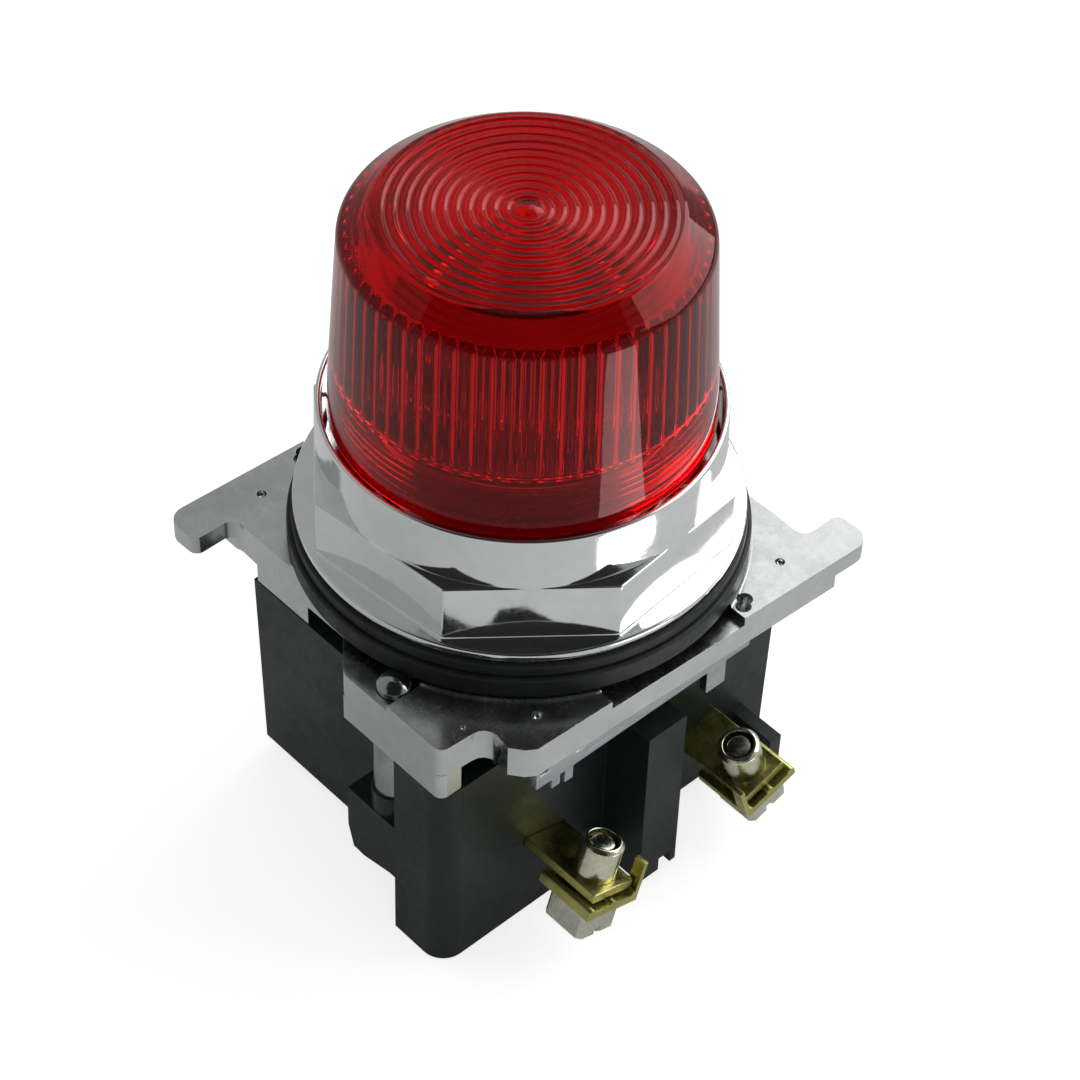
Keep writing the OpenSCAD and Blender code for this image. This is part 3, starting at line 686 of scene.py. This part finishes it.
# castings, sheet and mouldings keep their CAD shape: how wide each one's edges are rounded, in mm
edgeCfg = {
    "operator_base": 0.22,
    "mounting_plate": 0.12,
    "lamp_housing": 0.25,
    "rear_cover": 0.2,
    "mounting_screws": 0.08,
    "terminal_strap_a": 0.14,
    "terminal_strap_b": 0.14,
    "terminal_bush_a": 0.1,
    "terminal_bush_b": 0.1,
    "saddle_a": 0.12,
    "saddle_b": 0.12,
    "terminal_screw_a": 0.16,
    "terminal_screw_b": 0.16,
}
flatSided = ("operator_base", "mounting_plate", "lamp_housing", "rear_cover")
softCfg = {
    "seam": 0.004,     # points closer than this, in mm, become one
    "flat": 0.5,       # degrees between faces that still count as one flat face
    "steep": 32,       # degrees between faces from which an edge is rounded
    "steps": 3,        # faces across a rounded edge
}


def softenEdges(nodeName, width, cfg):
    obj = nodes[nodeName]
    weld = obj.modifiers.new("joinSeams", "WELD")
    weld.merge_threshold = cfg["seam"] * mm
    if nodeName in flatSided:
        # long thin triangles from a small hole to a far edge would show as lines on a flat face
        flat = obj.modifiers.new("joinFlats", "DECIMATE")
        flat.decimate_type = "DISSOLVE"
        flat.angle_limit = math.radians(cfg["flat"])
    bevel = obj.modifiers.new("roundEdges", "BEVEL")
    bevel.width = width * mm
    bevel.segments = cfg["steps"]
    bevel.limit_method = "ANGLE"
    bevel.angle_limit = math.radians(cfg["steep"])
    obj.modifiers.new("flatFaces", "WEIGHTED_NORMAL")


for nodeName, width in edgeCfg.items():
    softenEdges(nodeName, width, softCfg)

# finishes of the kept nodes: two tones and their cloud scale, gloss, fine bump in mm, wear and dust
castCfg = dict(tone=(0.70, 0.72, 0.72), tone2=(0.62, 0.64, 0.64), clouds=120.0, glossClouds=300.0,
               rough=(0.16, 0.28), metal=1.0, bump=0.02, bumpScale=220.0, bumpFine=0.1, bumpStrength=0.5,
               wear=0.4, wearTone=(0.82, 0.83, 0.84), wearWidth=0.0003, dust=0.12, dustScale=900.0)
sheetCfg = dict(tone=(0.5, 0.53, 0.54), tone2=(0.36, 0.4, 0.41), clouds=260.0, rough=(0.2, 0.4), metal=1.0,
                stretch=(1, 0.25, 1), bump=0.015, bumpScale=1200.0, bumpStretch=(1, 0.15, 1), wear=0.6,
                wearTone=(0.8, 0.82, 0.82))
blockCfg = dict(tone=(0.0065, 0.0135, 0.0105), tone2=(0.0095, 0.018, 0.0145), clouds=90.0,
                rough=(0.30, 0.45), specular=0.34, bump=0.02, bumpScale=1400.0, wear=0.25,
                wearTone=(0.06, 0.075, 0.072), wearWidth=0.0004, dust=0.1, dustScale=1200.0,
                dustTone=(0.12, 0.13, 0.125))
coverCfg = dict(blockCfg, rough=(0.4, 0.6))
screwCfg = dict(tone=(0.46, 0.50, 0.50), tone2=(0.36, 0.40, 0.40), clouds=400.0, rough=(0.07, 0.14),
                metal=1.0, bump=0.02, bumpScale=800.0, bumpStretch=(1, 1, 6))
brassCfg = dict(tone=(0.60, 0.55, 0.18), tone2=(0.40, 0.38, 0.12), clouds=260.0, rough=(0.26, 0.42),
                metal=1.0, bump=0.03, bumpScale=500.0, wear=0.7, wearTone=(0.90, 0.82, 0.42),
                patches=1400.0)
bushCfg = dict(tone=(0.86, 0.84, 0.70), tone2=(0.66, 0.64, 0.46), clouds=300.0, rough=(0.12, 0.22), metal=1.0,
               bump=0.03, bumpScale=900.0, wear=0.5, wearTone=(0.9, 0.88, 0.78))
headCfg = dict(tone=(0.74, 0.73, 0.64), tone2=(0.58, 0.57, 0.46), clouds=380.0, rough=(0.14, 0.3), metal=1.0,
               bump=0.04, bumpScale=700.0, wear=0.5, wearTone=(0.92, 0.9, 0.82))
redLeadCfg = dict(tone=(0.42, 0.02, 0.015), tone2=(0.32, 0.015, 0.012), clouds=500.0, rough=(0.4, 0.55),
                  bump=0.02, bumpScale=1500.0)
blackLeadCfg = dict(redLeadCfg, tone=(0.02, 0.02, 0.02), tone2=(0.03, 0.03, 0.03))
socketCfg = dict(tone=(0.75, 0.6, 0.28), tone2=(0.6, 0.47, 0.2), clouds=300.0, rough=(0.15, 0.3), metal=1.0,
                 bump=0.02, bumpScale=800.0)
insulatorCfg = dict(tone=(0.2, 0.1, 0.05), tone2=(0.14, 0.07, 0.035), clouds=300.0, rough=(0.4, 0.55),
                    bump=0.03, bumpScale=900.0)
contactCfg = dict(tone=(0.75, 0.6, 0.28), tone2=(0.62, 0.5, 0.22), clouds=400.0, rough=(0.12, 0.25),
                  metal=1.0, bump=0.01, bumpScale=900.0)
shellCfg = dict(tone=(0.76, 0.66, 0.4), tone2=(0.64, 0.55, 0.32), clouds=350.0, rough=(0.15, 0.3), metal=1.0,
                bump=0.02, bumpScale=800.0)
solderCfg = dict(tone=(0.55, 0.56, 0.57), tone2=(0.42, 0.43, 0.45), clouds=700.0, rough=(0.25, 0.45),
                 metal=1.0, bump=0.05, bumpScale=900.0)
filamentCfg = dict(tone=(0.35, 0.35, 0.36), tone2=(0.25, 0.25, 0.26), clouds=1500.0, rough=(0.3, 0.45),
                   metal=1.0, bump=0.01, bumpScale=2500.0)
# each finish, and the nodes that wear it
looks = [
    ("platedCasting", castCfg, ["operator_base"]),
    ("sheetSteel", sheetCfg, ["mounting_plate"]),
    ("blackPhenolic", blockCfg, ["lamp_housing"]),
    ("blackCover", coverCfg, ["rear_cover"]),
    ("platedScrew", screwCfg, ["mounting_screws"]),
    ("oliveBrass", brassCfg, ["terminal_strap_a", "terminal_strap_b", "saddle_a", "saddle_b"]),
    ("paleBush", bushCfg, ["terminal_bush_a", "terminal_bush_b"]),
    ("nickelHead", headCfg, ["terminal_screw_a", "terminal_screw_b"]),
    ("redLead", redLeadCfg, ["lamp_lead_a"]),
    ("blackLead", blackLeadCfg, ["lamp_lead_b"]),
    ("socketBrass", socketCfg, ["lamp_socket"]),
    ("brownMoulding", insulatorCfg, ["socket_insulator"]),
    ("contactBrass", contactCfg, ["centre_contact"]),
    ("bulbShell", shellCfg, ["bulb_base"]),
    ("softSolder", solderCfg, ["bulb_contact"]),
    ("tungstenWire", filamentCfg, ["filament"]),
]
for lookName, cfg, wearers in looks:
    finish = finishLook(lookName, cfg)
    for nodeName in wearers:
        paint(nodeName, finish)

bulbCfg = {
    "tone": (0.97, 0.98, 0.98),
    "tone2": (0.93, 0.95, 0.95),
    "clouds": 200.0,
    "rough": 0.02,
}


def bulbLook(cfg):
    mat, tree, shader = principled("bulbGlass", Roughness=cfg["rough"], IOR=1.5, Transmission_Weight=1.0)
    clouds = place(tree, grainGroup, Scale=cfg["clouds"], Fine=0.1)
    colour = mixColours(tree, clouds.outputs["Mask"], cfg["tone"], cfg["tone2"])
    tree.links.new(colour, shader.inputs["Base Color"])
    return mat


paint("bulb_glass", bulbLook(bulbCfg))
print("kept nodes finished:", len(looks) + 1, "looks")

# floor and world: shares and levels, where the eye sees white
stageCfg = {
    "floorSize": 8.0,       # metres
    "floorGap": 0.0002,     # metres under the object
    "floorTone": (0.55, 0.56, 0.555, 1),
    "worldTone": (0.985, 1, 0.992, 1),
    "floorGlow": 0.75,      # lifts the floor to white for the eye
    "floorMirrored": 0.12,  # share of that glow that metal and glass pick up
    "worldFill": 0.45,      # what the world gives to the shading
    "worldShown": 1.0,      # what the eye sees
    "worldMirrored": 0.34,  # what metal picks up
    "worldThrough": 0.16,   # what shows through the glass
}
# the two level directions of the set: to the right as the camera sees it, and away from the camera
turnedBy = math.radians(camera["azimuth"])
aside = Vector((math.cos(turnedBy), math.sin(turnedBy), 0))
away = Vector((-aside.y, aside.x, 0))


def shownRay(tree, share):
    # 1 for the eye, a share of it for metal and glass
    path = tree.nodes.new("ShaderNodeLightPath")
    bent = maths(tree, "MAXIMUM", path.outputs["Is Glossy Ray"], path.outputs["Is Transmission Ray"])
    return maths(tree, "MAXIMUM", path.outputs["Is Camera Ray"], maths(tree, "MULTIPLY", bent, share))


def addFloor(cfg):
    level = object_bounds()[0][2] - cfg["floorGap"]
    bpy.ops.mesh.primitive_plane_add(size=cfg["floorSize"], location=(0, 0, level))
    floor = bpy.context.object
    floor.name = "floor"
    mat, tree, shader = principled("paleFloor", Base_Color=cfg["floorTone"], Roughness=0.9,
                                   Specular_IOR_Level=0.0, Emission_Color=(1, 1, 1, 1))
    glow = maths(tree, "MULTIPLY", shownRay(tree, cfg["floorMirrored"]), cfg["floorGlow"])
    tree.links.new(glow, shader.inputs["Emission Strength"])
    floor.data.materials.append(mat)
    floor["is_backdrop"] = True


def addWorld(cfg):
    world = bpy.data.worlds.new("studio")
    bpy.context.scene.world = world
    world.use_nodes = True
    tree = world.node_tree
    back = tree.nodes["Background"]
    back.inputs["Color"].default_value = cfg["worldTone"]
    path = tree.nodes.new("ShaderNodeLightPath")
    level = None
    for ray, share in (("Is Glossy Ray", "worldMirrored"), ("Is Transmission Ray", "worldThrough"),
                       ("Is Camera Ray", "worldShown")):
        step = tree.nodes.new("ShaderNodeMix")
        tree.links.new(path.outputs[ray], step.inputs["Factor"])
        step.inputs["A"].default_value = cfg["worldFill"]
        if level is not None:
            tree.links.new(level, step.inputs["A"])
        step.inputs["B"].default_value = cfg[share]
        level = step.outputs["Result"]
    tree.links.new(level, back.inputs["Strength"])


# where each lamp or card stands: to the side, away and up, in metres; level is its brightness
lampCfg = {
    "windowRight": dict(at=(0.52, 0.26, 0.36), size=0.85, tall=0.5, level=2.4),
    "backRight": dict(at=(0.22, 0.42, 0.45), size=0.40, tall=0.40, level=0.9),
}
cardCfg = {
    "darkFlag": dict(at=(0.0, -0.45, 0.60), size=1.3, level=0.02, seen="both"),
    "glowRight": dict(at=(0.34, 0.02, 0.02), size=0.42, level=5.5, seen="through"),
    "glowLeft": dict(at=(-0.34, 0.05, 0.02), size=0.4, level=5.0, seen="through"),
    "floorPatch": dict(at=(0.0780, -0.0567, -0.0350), size=0.037, long=1.7, level=3.4, seen="mirrored"),
}


def standAt(at):
    return aside * at[0] + away * at[1] + Vector((0, 0, at[2]))


def addLamp(name, cfg):
    data = bpy.data.lights.new(name, "AREA")
    data.shape = "RECTANGLE"
    data.size = cfg["size"]
    data.size_y = cfg["tall"]
    data.energy = cfg["level"] * math.pi * cfg["size"] * cfg["tall"]
    lamp = bpy.data.objects.new(name, data)
    bpy.context.scene.collection.objects.link(lamp)
    lamp.location = standAt(cfg["at"])
    lamp.rotation_euler = (-lamp.location).to_track_quat("-Z", "Y").to_euler()


def addCard(name, cfg):
    # a plain card that only metal and glass pick up
    bpy.ops.mesh.primitive_plane_add(size=cfg["size"], location=standAt(cfg["at"]))
    card = bpy.context.object
    card.name = name
    card.rotation_euler = (-card.location).to_track_quat("Z", "Y").to_euler()
    if "long" in cfg:
        # lies flat, its length pointing away from the object
        card.rotation_euler = (0, 0, math.atan2(card.location.y, card.location.x))
        card.scale = (cfg["long"], 1, 1)
    mat, _, _ = principled(name + "Paint", Base_Color=(0, 0, 0, 1), Roughness=1.0,
                           Specular_IOR_Level=0.0, Emission_Color=(1, 1, 1, 1),
                           Emission_Strength=cfg["level"])
    card.data.materials.append(mat)
    card.visible_camera = False
    card.visible_diffuse = False
    card.visible_shadow = False
    card.visible_glossy = cfg["seen"] != "through"
    card.visible_transmission = cfg["seen"] != "mirrored"
    card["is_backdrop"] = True


addFloor(stageCfg)
addWorld(stageCfg)
for lampName, cfg in lampCfg.items():
    addLamp(lampName, cfg)
for cardName, cfg in cardCfg.items():
    addCard(cardName, cfg)
bpy.context.scene.view_settings.view_transform = "Standard"
print("stage and lamps set")
